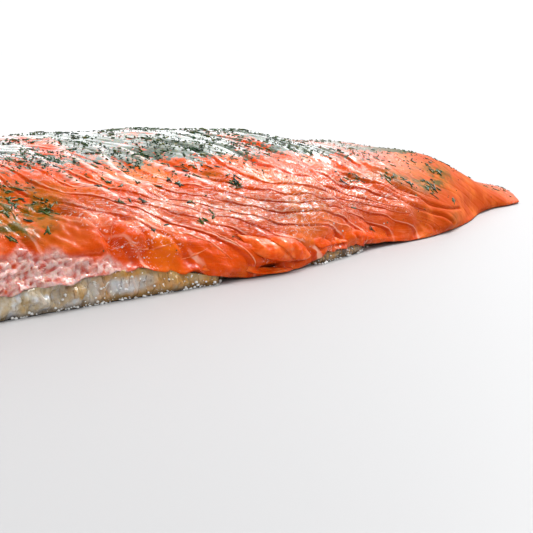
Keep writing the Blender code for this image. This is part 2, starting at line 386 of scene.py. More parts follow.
# The salmon: rows of muscle that bend towards the tail as they come down to the back edge, with
# grooves between them where the cure has drawn the flesh in. It is soft, wet and a little
# translucent, torn and granular low at the thick end, and its thick end is a clean knife cut.
RIDGE_HEIGHT = (33, 34, 35, 35, 31.5, 27.2, 22.5, 17, 10, 6.2, 4.4, 3.4)
RIDGE_PLACE = 0.5
SEAM = 0.3
TAIL_LIP = 0.35
BLOCK_STATION = (-164, -110, -90, -78, -65, -50, -35, -15, 5, 30, 60, 100, 164)
BLOCK_LENGTH = (12.0, 12.0, 9.0, 6.5, 6.5, 7.5, 9.5, 14.0, 18.0, 15.0, 12.0, 10.0, 7.0)
SLANT_STATION = (-164, -120, -95, -85, -73, -60, -48, -38, -25, -12, 20, 60, 100, 130, 164)
SLANT = (0, 3, 8, 20, 46, 62, 74, 82, 84, 83, 57, 42, 30, 17, 0)
SLANT_SHARES = (0.02, 0.29)
BELLY_SLANT = 0.45
CHEVRON = 13.0
GROOVE_DEPTH = 0.55
GROOVE_WIDTH = 0.07
BLOCK_SWELL = 0.22
BLOCK_STEP = 0.4
GROOVE_GAPS = 0.55
# A lobe or a patch: x, share across, length along X, width as a share, and height or strength.
LOBES = (
    (-71, 0.125, 12, 0.055, 2.0), (-63.5, 0.1, 2.6, 0.075, -2.2), (-48, 0.07, 11, 0.05, 1.3),
    (-10, 0.065, 11, 0.035, 2.0), (-13, 0.022, 6, 0.014, -1.8), (30, 0.03, 7, 0.03, 1.2),
    (81, 0.04, 7, 0.05, 1.3), (112, 0.08, 13, 0.05, -0.8), (-79, 0.265, 10, 0.045, -1.3),
    (-118, 0.16, 16, 0.07, 1.4), (-142, 0.1, 9, 0.06, -1.0), (-20, 0.78, 20, 0.08, 1.4),
    (-90, 0.84, 16, 0.06, -1.2), (45, 0.7, 14, 0.08, 1.0),
)
CREASES = (
    ((51.9, 0.189), (59.9, 0.155), (66, 0.115), (77.7, 0.076), (84, 0.03)),
    ((61.4, 0.2), (67.2, 0.175), (75, 0.125), (85, 0.09), (97, 0.08)),
    ((-62.6, 0.09), (-60.5, 0.128), (-56, 0.142), (-54.0, 0.112), (-51.8, 0.06)),
    ((-22.5, 0.102), (-15.7, 0.094), (-10, 0.066), (-0.3, 0.018)),
    ((-88, 0.22), (-74, 0.205), (-66, 0.15), (-62, 0.07)),
    ((-100, 0.1), (-90, 0.082), (-80, 0.07), (-68, 0.056)),
)
CREASE_DEPTH = 0.9
CREASE_WIDTH = 0.9
CREASE_MARK = 0.8
# Pale ridges: a little raised, and painted with streaks of sheen along them.
PALE_RIDGES = (
    ((-49.8, 0.49), (-56.7, 0.377), (-59.3, 0.301), (-57.4, 0.241), (-52.8, 0.209)),
    ((-33, 0.4), (-40, 0.33), (-42, 0.28), (-38, 0.245)),
    ((-40, 0.46), (-46, 0.39), (-49, 0.33), (-47, 0.27), (-43, 0.225)),
    ((-28, 0.38), (-27, 0.33), (-23.5, 0.28), (-19, 0.245)),
)
PALE_RISE = 0.45
PALE_WIDTH = 1.3
PALE_SHEEN_WIDTH = 1.0
LINE_POINTS = 40
SHARE_LENGTH = 130
UNDER_SHARES = (
    (200, 0.75), (200, 0.45), (200, 0.2), (200, 0.1), (4.1, 0.082), (1.6, 0.032), (0.5, 0.01),
)
FLESH_RINGS = 560
FLESH_ACROSS = 150
END_RINGS = 12
PINK_PATCHES = (
    (-30, 0.185, 14, 0.035, 0.9), (33, 0.15, 24, 0.06, 0.35), (-52, 0.133, 6, 0.012, 1.2),
    (-5, 0.17, 22, 0.05, 0.45), (-60, 0.36, 40, 0.08, 0.1), (-120, 0.3, 30, 0.12, 0.4),
    (60, 0.8, 40, 0.1, 0.4),
)
DEEP_PATCHES = (
    (-46, 0.05, 17, 0.045, 1.0), (-12, 0.05, 15, 0.04, 1.0), (-56, 0.1, 8, 0.03, 0.7),
    (25, 0.03, 20, 0.02, 0.6), (115, 0.15, 42, 0.16, 0.6), (-45, 0.285, 28, 0.06, 1.0),
    (5, 0.27, 30, 0.05, 0.8), (-82, 0.2, 12, 0.07, 0.7),
)
SOFT_PATCHES = (
    (-76, 0.13, 10, 0.05, 1.1), (85, 0.08, 30, 0.1, 1.0), (120, 0.2, 32, 0.35, 1.6),
    (75, 0.25, 22, 0.06, 0.6),
)
# Where highlights are painted into the colour of the flesh.
PAINTED_HIGHLIGHT_PATCHES = (
    (-32, 0.2, 26, 0.05, 0.8), (20, 0.15, 26, 0.05, 0.9), (-6, 0.16, 24, 0.05, 0.9),
    (38, 0.2, 22, 0.05, 0.9), (48, 0.15, 12, 0.03, 1.0), (-8, 0.25, 30, 0.05, 0.15),
    (-58, 0.27, 12, 0.05, 0.1), (-56, 0.17, 10, 0.03, 0.5), (-40, 0.33, 26, 0.04, 0.15),
    (-67, 0.19, 5, 0.018, 1.0), (-54, 0.115, 3, 0.01, 1.1), (-60, 0.07, 3, 0.018, 1.1),
)
STAIN_PATCHES = (
    (-80, 0.235, 12, 0.055, 1.7), (-86, 0.17, 10, 0.045, 1.5), (82, 0.2, 14, 0.035, 1.3),
    (98, 0.26, 16, 0.05, 1.1), (66, 0.235, 8, 0.025, 0.9), (50, 0.23, 9, 0.02, 0.7),
    (88, 0.05, 6, 0.03, 0.5), (138, 0.3, 14, 0.1, 0.6), (-15, 0.262, 5, 0.014, 0.7),
)
# Where the hollow under the folds is painted dark as shade: x, share, length, width and strength.
HOLLOW_SHADE_PATCHES = ((-12.8, 0.028, 5.5, 0.008, 1.1), (1.5, 0.02, 2.5, 0.006, 0.7))
FLESH_ORANGE = (0.7, 0.07, 0.002)
FLESH_PAINTED_SHADE = (0.52, 0.03, 0.001)
FLESH_PINK = (0.88, 0.215, 0.095)
FLESH_AMBER = (0.78, 0.15, 0.006)
FLESH_SOFT = (0.52, 0.062, 0.002)
SOFT_PINK = (0.68, 0.125, 0.014)
FLESH_PAINTED_HIGHLIGHT = (0.96, 0.78, 0.72)
FATTY_PINK = (0.8, 0.54, 0.49)
FATTY_CREVICE_SHADE = (0.5, 0.09, 0.065)
FATTY_FLESH = (0.8, 0.24, 0.18)
HOLLOW_PAINTED_SHADE = (0.07, 0.008, 0.002)
STAIN = (0.11, 0.07, 0.004)
STAIN_AMBER = (0.42, 0.105, 0.003)
DILL_FILM = (0.062, 0.125, 0.085)
DILL_FILM_DARK = (0.014, 0.042, 0.022)
DILL_FILM_OLIVE = (0.12, 0.15, 0.055)
RIM_OLIVE = (0.06, 0.066, 0.016)
CUT_ORANGE = (0.95, 0.18, 0.035)
CUT_BROWN = (0.3, 0.055, 0.018)
CUT_LINE = (0.94, 0.46, 0.26)
CUT_CENTRES = ((-0.026, 0.015), (0.03, 0.012))
SEPTUM = (0.95, 0.5, 0.36)


def flesh_under(x, inward):
    """Height of the flesh's underside: the lip's height at the edge, eased down to the skin. By
    the tail the lip droops over the skin's edge to just above the surface below."""
    droops = ease((x - 45) / 15)
    lip = (band_height(x) + SEAM) * (1 - droops) + TAIL_LIP * droops
    bed = skin_top(x, inward) + SEAM * (1 + 0.8 * ease((inward - 1.5) / 2.5))
    return lip + (bed - lip) * ease((inward - 0.8) / (SKIN_SET_BACK - 1.6))


def slanted(u, s):
    """x at share s across the row of muscle that starts on top at u: u plus the slant there,
    eased in on the way down to either edge, less a bell round the middle, where the rows point
    to the thick end."""
    slant = smooth_curve(SLANT_STATION, SLANT, u)
    low, high = SLANT_SHARES
    down_back = 1 - ease((s - low) / (high - low))
    down_belly = 1 - ease((1 - s - low) / (high - low))
    between_ends = ease((STATION[-1] - 30 - u) / 120) * ease((u - STATION[0]) / 40)
    point = CHEVRON * between_ends * bell((s - 0.52) / 0.11)
    return u + slant * (down_back + BELLY_SLANT * down_belly) - point


def block_number(u):
    """The number of rows of muscle between the thick end and u: the sum of the steps along the
    top, each over the rows' length there."""
    fine = np.linspace(STATION[0], STATION[-1], 2001)
    steps = np.diff(fine) / smooth_curve(BLOCK_STATION, BLOCK_LENGTH, (fine[1:] + fine[:-1]) / 2)
    return np.interp(u, fine, np.concatenate([[0], np.cumsum(steps)]))


def flesh_section(x, s):
    """y and z on the smooth upper side, with s from 0 at the back edge to 1 at the belly edge:
    y goes as one less the cosine of half a turn of s, and z as a power of its sine."""
    back, belly = edges(x)
    ridge = smooth_curve(STATION, RIDGE_HEIGHT, x)
    angle = np.pi * s
    across = 1 - np.abs(np.cos(angle))
    across = np.where(s < 0.5, RIDGE_PLACE * across, 1 - (1 - RIDGE_PLACE) * across)
    y = back + (belly - back) * across
    foot = np.where(s < 0.5, flesh_under(x, 0.0), flesh_under(x, belly - back))
    rise = np.abs(np.sin(angle)) ** np.where(s < 0.5, 1.05, 1.33)
    return y, foot + (ridge - foot) * rise


def fatty_share(x, s):
    """1 in the torn, fatty patch low at the thick end, eased to 0 round it."""
    upper = 0.105 - 0.05 * ease((x + 90) / 32) + 0.013 * ripple(columns(x, 0, 0), 8.0, 29, 6)
    return ease((x + 128) / 12) * ease((-57 - x) / 9) * ease((upper - s) / 0.03)


def patches(table, x, s):
    """The sum of bells at the places in the table, each of its own length, width and height."""
    return sum(rise * bell((x - at) / length) * bell((s - place) / wide)
               for at, place, length, wide, rise in table)


def line_places(line, count):
    """x and s at count places along the smooth line through the given places."""
    way = np.linspace(0, len(line) - 1, count)
    return [smooth_curve(np.arange(len(line)), values, way) for values in zip(*line)]


def near_lines(lines, x, s, wide):
    """The sum of the lines' bells, wide across: each goes by the least distance to points along
    its line, where a share s across is worth about 130 mm near the edges."""
    total = 0.0
    for line in lines:
        nearest = np.full(np.broadcast(x, s).shape, np.inf)
        for at, place in zip(*line_places(line, LINE_POINTS)):
            nearest = np.minimum(nearest, (x - at) ** 2 + ((s - place) * SHARE_LENGTH) ** 2)
        total = total + np.exp(-nearest / wide**2)
    return total


def flat_place(x, s):
    """x and s as points on a flat sheet, where ripples are drawn."""
    return columns(x, s * SHARE_LENGTH, 0)


def row_number(u, x, s):
    """The row of muscle at a place: that of u, where u wanders by slow ripples on the far side."""
    far = 0.25 + 0.75 * ease((s - 0.34) / 0.15)
    return block_number(u + 4.5 * far * ripple(flat_place(x, s), 38.0, 71, 8))


def flesh_relief(u, x, s):
    """Distance that the surface stands out: each row's swell, the root of a sine of its share,
    and its tilt, less bell-shaped grooves between rows and creases, plus the bells of the lobes
    and the pale ridges, and slow sine waves."""
    share = np.mod(row_number(u, x, s), 1.0)
    near_groove = np.minimum(share, 1 - share)
    front = 1 - ease((s - 0.3) / 0.25)
    strength = (0.32 + 0.68 * front) * ease((x + 150) / 60) * (1 - 0.85 * ease((x - 42) / 26))
    strength *= 1 - 0.6 * bell((x + 62) / 26) * ease((s - 0.08) / 0.06)
    strength *= 1 - 0.45 * bell((x + 26) / 24) * ease((s - 0.05) / 0.05)
    gaps = ease(0.45 + 0.9 * ripple(flat_place(x, s), 22.0, 77, 10)) * ease((x + 60) / 20)
    strength *= 1 - GROOVE_GAPS * gaps
    plates = BLOCK_SWELL * np.sqrt(np.sin(np.pi * share)) + BLOCK_STEP * (0.5 - share)
    plates -= GROOVE_DEPTH * bell(near_groove / GROOVE_WIDTH)
    lines = PALE_RISE * near_lines(PALE_RIDGES, x, s, PALE_WIDTH)
    lines -= CREASE_DEPTH * near_lines(CREASES, x, s, CREASE_WIDTH)
    waves = 0.8 * np.sin(x / 13.0 + 5 * s) * np.sin(7 * s + x / 31.0)
    waves += 0.4 * np.sin(x / 6.1 - 9 * s)
    fade = ease(s / 0.03) * ease((1 - s) / 0.06) * ease((STATION[-1] - x) / 12)
    return (plates * strength + patches(LOBES, x, s) + waves + lines) * fade


def flesh_grain(points, u, x, s):
    """The fine relief that the solid leaves out: ragged ripples along the rows, slow ones over
    them, and the torn strands in the fatty patch."""
    fade = ease(s / 0.02) * ease((1 - s) / 0.04)
    along = columns(block_number(u) * 3.0, s * 40, 0)
    calm = (1 - 0.7 * ease((s - 0.24) / 0.12)) * (1 - 0.85 * ease((x - 55) / 35))
    ragged = (0.1 * ripple(along, 4.0, 21) + 0.13 * ripple(points, 2.6, 22)) * calm
    fatty = fatty_share(x, s)
    soft = 0.45 * ripple(points, 9.0, 25) * calm
    return (ragged * (1 - fatty) + torn(points) * fatty + soft) * fade


def torn(points):
    """Height of the torn fat: folded ripples of three sizes, drawn out along the fillet and bent
    by a slower ripple, so that crevices branch between the strands."""
    bend = columns(ripple(points, 7.0, 26), ripple(points, 6.0, 27), 0)
    bent = points * (0.75, 1, 1) + 0.8 * bend
    strands = 0.9 - 1.8 * np.abs(ripple(bent, 3.2, 23)) ** 0.8
    return 0.22 * strands + 0.34 * ripple(bent, 1.7, 24) + 0.32 * ripple(points, 1.2, 28)


def unit(vectors):
    """Each vector over its own length."""
    return vectors / np.maximum(np.linalg.norm(vectors, axis=-1, keepdims=True), 1e-9)


def square_to(grid):
    """Unit directions square to a grid of points: the cross product of its slopes."""
    return unit(np.cross(np.gradient(grid, axis=0), np.gradient(grid, axis=1)))


def raised(points, outward, u, x, s):
    """The points moved outward by the relief and the grain there."""
    stand = flesh_relief(u, x, s) + flesh_grain(points, u, x, s)
    return points + outward * stand[..., None]


def flesh_top(u, s):
    """Points and x of the dressed upper side, for a grid of u and s."""
    x = slanted(u, s)
    top = columns(x, *flesh_section(x, s))
    top = raised(top, square_to(top), u, x, s)
    lip = (1 - ease(s / 0.04)) * ease((band_height(x) - 0.6) / 2.0)
    at = columns(x, 0, 0)
    top[..., 1] -= lip * (1.5 + 0.4 * ripple(at, 9.0, 41, 6) + 0.4 * ripple(at, 3.0, 42, 6))
    top[..., 2] -= lip * (0.3 + 0.4 * ripple(at, 8.0, 43, 6) + 0.2 * ripple(at, 3.0, 44, 6))
    top[..., 2] = np.maximum(top[..., 2], 0.4)
    return top, x


def under_point(starts, most, share):
    """One point on the underside for each row, inward from the back edge by a share of the
    fillet's width there, though by no more than most."""
    low, high = slanted(starts, 0.0), slanted(starts, 1.0)
    x = low
    for _ in range(3):
        back, belly = edges(x)
        inward = np.minimum(most, share * (belly - back))
        x = low + (high - low) * inward / (belly - back)
    return columns(x, back + inward, flesh_under(x, inward))


def spread(low, high, count, density):
    """count values from low to high, closer together where density is higher."""
    fine = np.linspace(low, high, 4001)
    weight = density((fine[1:] + fine[:-1]) / 2)
    sums = np.concatenate([[0], np.cumsum(weight)])
    return np.interp(np.linspace(0, sums[-1], count), sums, fine)


starts = spread(STATION[0], STATION[-1], FLESH_RINGS, lambda u: (
    0.3 + ease((u + 135) / 25) * (1 - 0.5 * ease((u - 70) / 40)) + 1.2 * bell((u + 72) / 20)))
shares = spread(0, 1, FLESH_ACROSS, lambda s: 1.0 - 0.72 * ease((s - 0.42) / 0.15))
u, s = np.meshgrid(starts, shares, indexing="ij")
top, x = flesh_top(u, s)
under = [under_point(starts, most, share) for most, share in UNDER_SHARES]
rings = np.concatenate([top, np.stack(under, axis=1)], axis=1)
rings[..., 2] = np.maximum(rings[..., 2], SEAM)
rings = lean_cut(rings)
flesh = closed_rings("salmon_flesh", rings, END_RINGS)

# Attributes of each point for the paint: the row it lies in, its way along the row, and how much
# of each patch is there. Points of the ends and the underside copy their neighbour.
upper = rings[:, :s.shape[1]]
steps = np.linalg.norm(np.diff(upper, axis=1), axis=-1)
way = np.concatenate([np.zeros((len(u), 1)), np.cumsum(steps, axis=1)], axis=1)
marks = {"row": row_number(u, x, s), "along": way, "fatty": fatty_share(x, s),
         "cut": np.zeros_like(s), "torn": torn(upper),
         "wet": ease((s - 0.22) / 0.12) * (1 - ease((x - 55) / 40))}
for name, table in (("pink", PINK_PATCHES), ("deep", DEEP_PATCHES), ("soft", SOFT_PATCHES),
                    ("highlight_patch", PAINTED_HIGHLIGHT_PATCHES), ("stain", STAIN_PATCHES), ("hollow_shade", HOLLOW_SHADE_PATCHES)):
    marks[name] = np.minimum(patches(table, x, s), 1.2)
place = flat_place(x, s)
ragged = 0.2 * ripple(place, 24.0, 72, 8) + 0.12 * ripple(place, 8.0, 73, 8)
crown = ease((s - 0.265) / 0.09) * (1 - ease((s - 0.72) / 0.22))
middle = ease((x + 54) / 28) * ease((66 - x) / 34)
rim = ease((s - 0.35) / 0.06) * ease((0.66 - s) / 0.1)
rim = rim * ease((x - 45) / 30) * ease((128 - x) / 30)
thick = 0.5 * ease((105 - x) / 60) + 0.34 * middle
cover = np.maximum(crown * (thick + ragged), rim * (0.62 + 1.2 * ragged))
marks["cover"] = np.clip(cover, 0, 1)
marks["crease"] = near_lines(CREASES, x, s, CREASE_MARK)
marks["pale"] = near_lines(PALE_RIDGES, x, s, PALE_SHEEN_WIDTH)
ends = (END_RINGS - 1, END_RINGS - 1)
for name, values in marks.items():
    values = np.pad(values, (ends, (0, rings.shape[1] - s.shape[1])), mode="edge")
    if name == "cut":
        values[:END_RINGS - 1] = 1
    values = np.append(values, (values[0, 0], values[-1, -1]))
    mark = flesh.data.attributes.new(name, "FLOAT", "POINT")
    mark.data.foreach_set("value", values.astype(np.float32))

meat = Paint("salmon flesh", Subsurface_Weight=0.25, Subsurface_Radius=(1.0, 0.25, 0.08),
             Subsurface_Scale=0.0012, IOR=1.42, Specular_IOR_Level=0.09, Coat_Roughness=0.09)
row, along = meat.attribute("row"), meat.attribute("along")
x, y, z = meat.axes()
before_tip = x.between(0.105, 0.08)
fatty, pink, deep, soft, highlight_patch, stain, hollow_shade = map(
    meat.attribute, ("fatty", "pink", "deep", "soft", "highlight_patch", "stain", "hollow_shade"))
wet, cover, cut, depth, pale, crease = map(
    meat.attribute, ("wet", "cover", "cut", "torn", "pale", "crease"))
# The rows: their share, the groove between them, and strokes along them.
share = (row + (meat.noise(260) * 0.16 - 0.08)).fraction()
patch = meat.noise(75, 3, 0.5)
broken = meat.noise(110).between(0.35, 0.6)
groove = share.between(0.9, 0.98).most(share.between(0.1, 0.02)) * (1 - soft * 0.9)
groove = groove * (broken * 0.6 + 0.4)
crest_dry_and_sheen = share.between(0.15, 0.5) * share.between(0.95, 0.55)
flat = meat.node("CombineXYZ", {}, {0: row * 1.1, 1: along * 0.55, 2: 0.0})
strokes = meat.noise(1.9, 3, 0.6, 0.5, over=flat)
fine = meat.noise(9.0, 3, 0.65, 0.4, over=flat)
grain = meat.noise(900, 3, 0.6)
sand = meat.noise(1500, 2, 0.6)
# The rows' crests are pinker: partly drier flesh, partly painted sheen.
pinkness = crest_dry_and_sheen * 0.2 + pink * 0.8 - deep * 0.9 + (patch - 0.5) * 1.5 + (strokes - 0.5) * 1.8
pinkness = (pinkness + 0.18 - wet * 0.35).between(0.0, 1.0)
soft_tone = meat.noise(85, 3, 0.6).between(0.42, 0.66).mix(FLESH_SOFT, SOFT_PINK)
# Painted highlight flecks and glitter, the juice's stains, the wet film among the dill, and the
# torn fat with painted shade in its crevices.
painted_highlight_flecks = meat.noise(3.0, 2, 0.5, 0.8, over=flat).between(0.53, 0.6) * grain.between(0.45, 0.52)
painted_glitter = sand.between(0.61, 0.66) * (1 - deep * 0.4) * (1 - soft) * patch.between(0.48, 0.6) * 0.8
olive = meat.noise(330, 3, 0.6).between(0.44, 0.58).mix(STAIN_AMBER, STAIN)
streaky = meat.noise(1.3, 4, 0.65, 0.3, over=flat)
chopped = meat.noise(560, 3, 0.65, 0.7) - 0.5 + (streaky - 0.5) * 0.25
tint = meat.noise(900)
film = layered(tint.between(0.36, 0.54).mix(DILL_FILM_DARK, DILL_FILM),
               (tint.between(0.58, 0.7), DILL_FILM_OLIVE), (x.between(0.045, 0.065), RIM_OLIVE))
# The torn fat: pink on its strands, with painted shade in dark red down the crevices between them.
torn_fat_shaded = (meat.noise(520, 3, 0.6).between(0.45, 0.65) * 0.6).mix(
    depth.between(-0.8, 0.2).mix(FATTY_CREVICE_SHADE, FATTY_PINK), FATTY_FLESH)
# The cut face: rings of muscle round two centres, brown round the outside.
reach = [((y - at) * (y - at) * 0.16 + (z - up) * (z - up)) ** 0.5 for at, up in CUT_CENTRES]
arcs = reach[0].math("MINIMUM", *reach) * 270 + meat.noise(55) * 3.0
ring = arcs.fraction()
ring_line = ring.between(0.12, 0.0).most(ring.between(0.88, 1.0)) * arcs.between(2.2, 2.8)
ring_line = ring_line * meat.noise(140).between(0.35, 0.55)
brown = (y * y * 3500 + z * 95 + meat.noise(120) * 0.5).between(1.15, 0.55)
cut_face = layered(meat.noise(220, 3).between(0.3, 0.8).mix(CUT_ORANGE, FLESH_AMBER),
                   (brown, CUT_BROWN), (ring_line * 0.6, CUT_LINE))
colour = layered(
    pinkness.mix(FLESH_ORANGE, FLESH_PINK),
    (meat.noise(48).between(0.52, 0.7) * 0.7, FLESH_AMBER),
    (soft.between(0.1, 0.8) * (1 - strokes.between(0.5, 0.9) * before_tip * 0.6), soft_tone),
    # Painted shade down the grooves between the rows and in the creases.
    ((groove * 0.85).most(crease.between(0.3, 0.9) * broken * 0.8), FLESH_PAINTED_SHADE),
    (share.between(0.08, 0.11) * share.between(0.19, 0.13) * broken * (1 - soft) * 0.8, SEPTUM),
    # Painted highlights: white flecks, glitter, and sheen streaks along the pale ridges.
    (highlight_patch * painted_highlight_flecks * (1 - groove) * 0.95, FLESH_PAINTED_HIGHLIGHT),
    (painted_glitter, FLESH_PAINTED_HIGHLIGHT),
    (stain * meat.noise(150, 3).between(0.3, 0.5) * 0.95, olive),
    ((cover * 0.39 + chopped).between(0.14, 0.22) * cover.between(0.0, 0.2) * 0.95, film),
    (pale * streaky.between(0.3, 0.6) * 0.9, FLESH_PAINTED_HIGHLIGHT),
    (fatty * meat.noise(300, 3).between(0.2, 0.45), torn_fat_shaded),
    # Painted shade along the crease at the top of the fatty patch.
    (crease.between(0.5, 1.0) * fatty.between(0.02, 0.4) * broken * 0.6, FATTY_CREVICE_SHADE),
    # Painted shade in the hollow under the folded flakes.
    (hollow_shade.between(0.35, 0.9), HOLLOW_PAINTED_SHADE),
    (cut.between(0.3, 0.8), cut_face))
# The gloss: specks on the muscle, fine lines over the wet top, and the damp film.
lengthways = meat.node("CombineXYZ", {}, {0: row * 6.0, 1: along * 0.12, 2: 0.0})
lines = meat.noise(1.0, 4, 0.65, 0.5, over=lengthways)
speck = sand.between(0.5, 0.57) * fine.between(0.42, 0.53) * (1 - wet)
speck = speck + lines.between(0.53, 0.57) * wet
damp = cover.between(0.3, 0.7) * (lines.between(0.36, 0.5) * 0.35 + 0.65) * x.between(0.075, 0.05)
glaze = speck * (1 - soft * 0.8) * (1 - deep * 0.4) * before_tip + damp
glaze = glaze + fatty * sand.between(0.52, 0.6) * 0.6 + 0.02
meat.feed(Base_Color=colour, Roughness=grain * (0.3 - wet * 0.2) + soft * 0.4 + 0.1,
          Coat_Weight=glaze)
rough = (1 - deep * 0.7) * (1 - wet * 0.85) * (1 - soft * 0.8) * (1 - cut * 0.7) * before_tip
meat.bump((strokes * rough, 0.0003), (fine * rough * (highlight_patch * 0.6 + 0.4), 0.0003),
          (grain * rough, 0.0002), (sand * fatty, 0.0006))
meat.on(flesh)
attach(flesh, "root")
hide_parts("flesh")

# Loose flakes of flesh along the back edge: thin, glassy leaves, each still held along one side
# and lifted at the other, and the pale membranes that mark where one leaf lies on the next.
# A flake: its name, its four corners as x and share, the heights of its root and its free side,
# and its thickness.
FLAKES = (
    ("fold_above_hollow", ((-24, 0.12), (-6, 0.09), (2.0, 0.024), (-18, 0.04)), 0.3, 1.4, 1.0),
    ("fold_beside_hollow", ((-14, 0.1), (-3, 0.085), (3.5, 0.02), (-7, 0.03)), 0.9, 2.1, 0.9),
    ("lip_below_hollow", ((-24, 0.04), (-8, 0.02), (-2, 0.006), (-22, 0.01)), 0.1, 1.1, 0.9),
    ("pale_flake", ((-39.5, 0.026), (-33.5, 0.04), (-28.5, 0.016), (-38, 0.004)), 0.3, 1.0, 0.8),
    ("flake_by_tail_1", ((4, 0.07), (17, 0.044), (25, 0.01), (8, 0.02)), 0.2, 1.4, 0.8),
    ("flake_by_tail_2", ((26, 0.052), (35, 0.045), (40, 0.016), (29, 0.006)), 0.3, 1.2, 0.8),
)
MEMBRANES = (
    ((-62.6, 0.09), (-60.5, 0.128), (-56, 0.142), (-54.0, 0.118), (-53, 0.09)),
    ((-53.5, 0.018), (-47.3, 0.026), (-41, 0.04), (-34.2, 0.068)),
    ((-59.7, 0.074), (-56, 0.056), (-49.4, 0.062), (-45, 0.075)),
    ((-24.5, 0.102), (-15.7, 0.096), (-8, 0.062), (-0.3, 0.022)),
    ((-30, 0.115), (-24, 0.085), (-20, 0.05), (-19, 0.03)),
    ((-13.4, 0.157), (-3.7, 0.13), (2.7, 0.098), (11.2, 0.066)),
    ((-43, 0.115), (-37, 0.1), (-31, 0.075), (-27, 0.045)),
    ((12, 0.095), (20, 0.075), (27, 0.055), (30, 0.035)),
)
FLAKE_GRID = (46, 30)
MEMBRANE_SIZE = (0.17, 0.08)
MEMBRANE_POINTS = 70
FLAKE_ORANGE = (0.74, 0.075, 0.003)
FLAKE_PALE = (0.88, 0.15, 0.025)
MEMBRANE_RED = (0.88, 0.15, 0.04)
MEMBRANE_PALE = (0.92, 0.3, 0.15)


def start_of(x, s):
    """The u whose row of muscle passes through x at share s: the stretch of u that holds it,
    halved 24 times."""
    low, high = np.full(x.shape, STATION[0] - 90.0), np.full(x.shape, STATION[-1] + 0.0)
    for _ in range(24):
        middle = (low + high) / 2
        short = slanted(middle, s) < x
        low, high = np.where(short, middle, low), np.where(short, high, middle)
    return low


def dressed(x, s):
    """Points and unit outward directions of the dressed flesh at each pair of x and s, from the
    slopes to the next pair and to a small step beside each."""
    x, s = x[:, None] + np.array([0, 0.3]), s[:, None] + np.array([0, 0.002])
    top = columns(x, *flesh_section(x, s))
    outward = square_to(top)
    outward *= np.sign(outward[..., 2:])
    return lean_cut(raised(top, outward, start_of(x, s), x, s))[:, 0], outward[:, 0]


def flake_rings(corners, root, lift, thick):
    """Rings round a leaf: a square grid drawn in at its corners towards a disc, its height rising
    from root to lift by the square of the way down, and its thickness falling to nothing at the
    rim by the root of 1 less a sixth power."""
    a, b = np.meshgrid(*(np.linspace(-1, 1, count) for count in FLAKE_GRID), indexing="ij")
    p = (a * np.sqrt(1 - 0.32 * b**2) + 1) / 2
    q = (b * np.sqrt(1 - 0.32 * a**2) + 1) / 2
    c = np.array(corners)
    root_line, rim_line = (start + (end - start) * p[..., None] for start, end in (c[:2], c[:1:-1]))
    place = root_line + (rim_line - root_line) * q[..., None]
    x, s = place[..., 0], np.maximum(place[..., 1], 0.002)
    x = x + 0.5 * ripple(columns(p * 9, q * 9, c[0, 0]), 5.0, 61)
    base = columns(x, *flesh_section(x, s))
    outward = square_to(base)
    outward *= -np.sign(outward[..., 1:2])
    rim = np.sqrt(np.clip((1 - a**6) * (1 - b**6), 0, 1))
    height = patches(LOBES, x, s) * ease(s / 0.03) + root + (lift - root) * q**2
    height += 0.22 * ripple(base, 5.0, 62) + 0.12 * ripple(base, 2.2, 63) - 0.9 * (1 - q) ** 6
    upper = base + outward * (height + thick / 2 * rim)[..., None]
    lower = base + outward * (height - thick / 2 * rim)[..., None]
    rings = lean_cut(np.concatenate([upper, lower[:, -2:0:-1]], axis=1))
    rings[..., 2] = np.maximum(rings[..., 2], 0.25)
    return rings


def membrane_rings(line):
    """Rings of a flat thread that lies along a smooth line over the flesh, thin at both ends."""
    point, outward = dressed(*line_places(line, MEMBRANE_POINTS))
    side = unit(np.cross(outward, np.gradient(point, axis=0)))
    turn = np.linspace(0, 2 * np.pi, 7)[:-1]
    taper = 0.25 + np.sin(np.pi * np.linspace(0, 1, MEMBRANE_POINTS)) ** 0.5
    wide = MEMBRANE_SIZE[0] * taper * (1 + 0.35 * ripple(point, 4.0, 64, 6))
    return (point[:, None] + side[:, None] * (np.cos(turn) * wide[:, None])[..., None]
            + outward[:, None] * (np.sin(turn) * MEMBRANE_SIZE[1] + 0.05)[..., None])


def outward_rings(rings):
    """The rings in the order that turns their faces out: the other way round where the volume
    under them, the sum of the sections' areas times their steps, comes out negative."""
    middle = rings.mean(1, keepdims=True)
    area = np.cross(rings - middle, np.roll(rings, -1, axis=1) - middle).sum(1) / 2
    step = np.gradient(middle[:, 0], axis=0)
    return rings if (area * step).sum() > 0 else rings[:, ::-1]


leaves = [closed_rings(name, outward_rings(flake_rings(corners, root, lift, thick)))
          for name, corners, root, lift, thick in FLAKES]
threads = [closed_rings(f"membrane_{number}", outward_rings(membrane_rings(line)))
           for number, line in enumerate(MEMBRANES, 1)]
leaf = Paint("thin flake", Roughness=0.3, Specular_IOR_Level=0.15, Subsurface_Weight=0.5,
             Subsurface_Radius=(1.0, 0.3, 0.08), Subsurface_Scale=0.0016, IOR=1.42,
             Coat_Roughness=0.08)
cloud = leaf.noise(190, 3, 0.6)
fibre = leaf.noise(900, 2, 0.6, over=leaf.stretched((0.35, 1, 1)))
tone = (cloud + (fibre - 0.5) * 0.4).between(0.42, 0.66).mix(FLAKE_ORANGE, FLAKE_PALE)
leaf.feed(Base_Color=tone, Coat_Weight=fibre.between(0.54, 0.66) * cloud.between(0.45, 0.6))
leaf.bump((fibre, 0.0003), (cloud, 0.0008))
leaf.on(*leaves)
veil = Paint("membrane", Roughness=0.25, Subsurface_Weight=0.4, Subsurface_Radius=(1.0, 0.5, 0.3),
             Subsurface_Scale=0.0008)
cloud = veil.noise(300).between(0.35, 0.65)
veil.feed(Base_Color=cloud.mix(MEMBRANE_RED, MEMBRANE_PALE))
veil.on(*threads)
for piece in leaves + threads:
    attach(piece, "root")

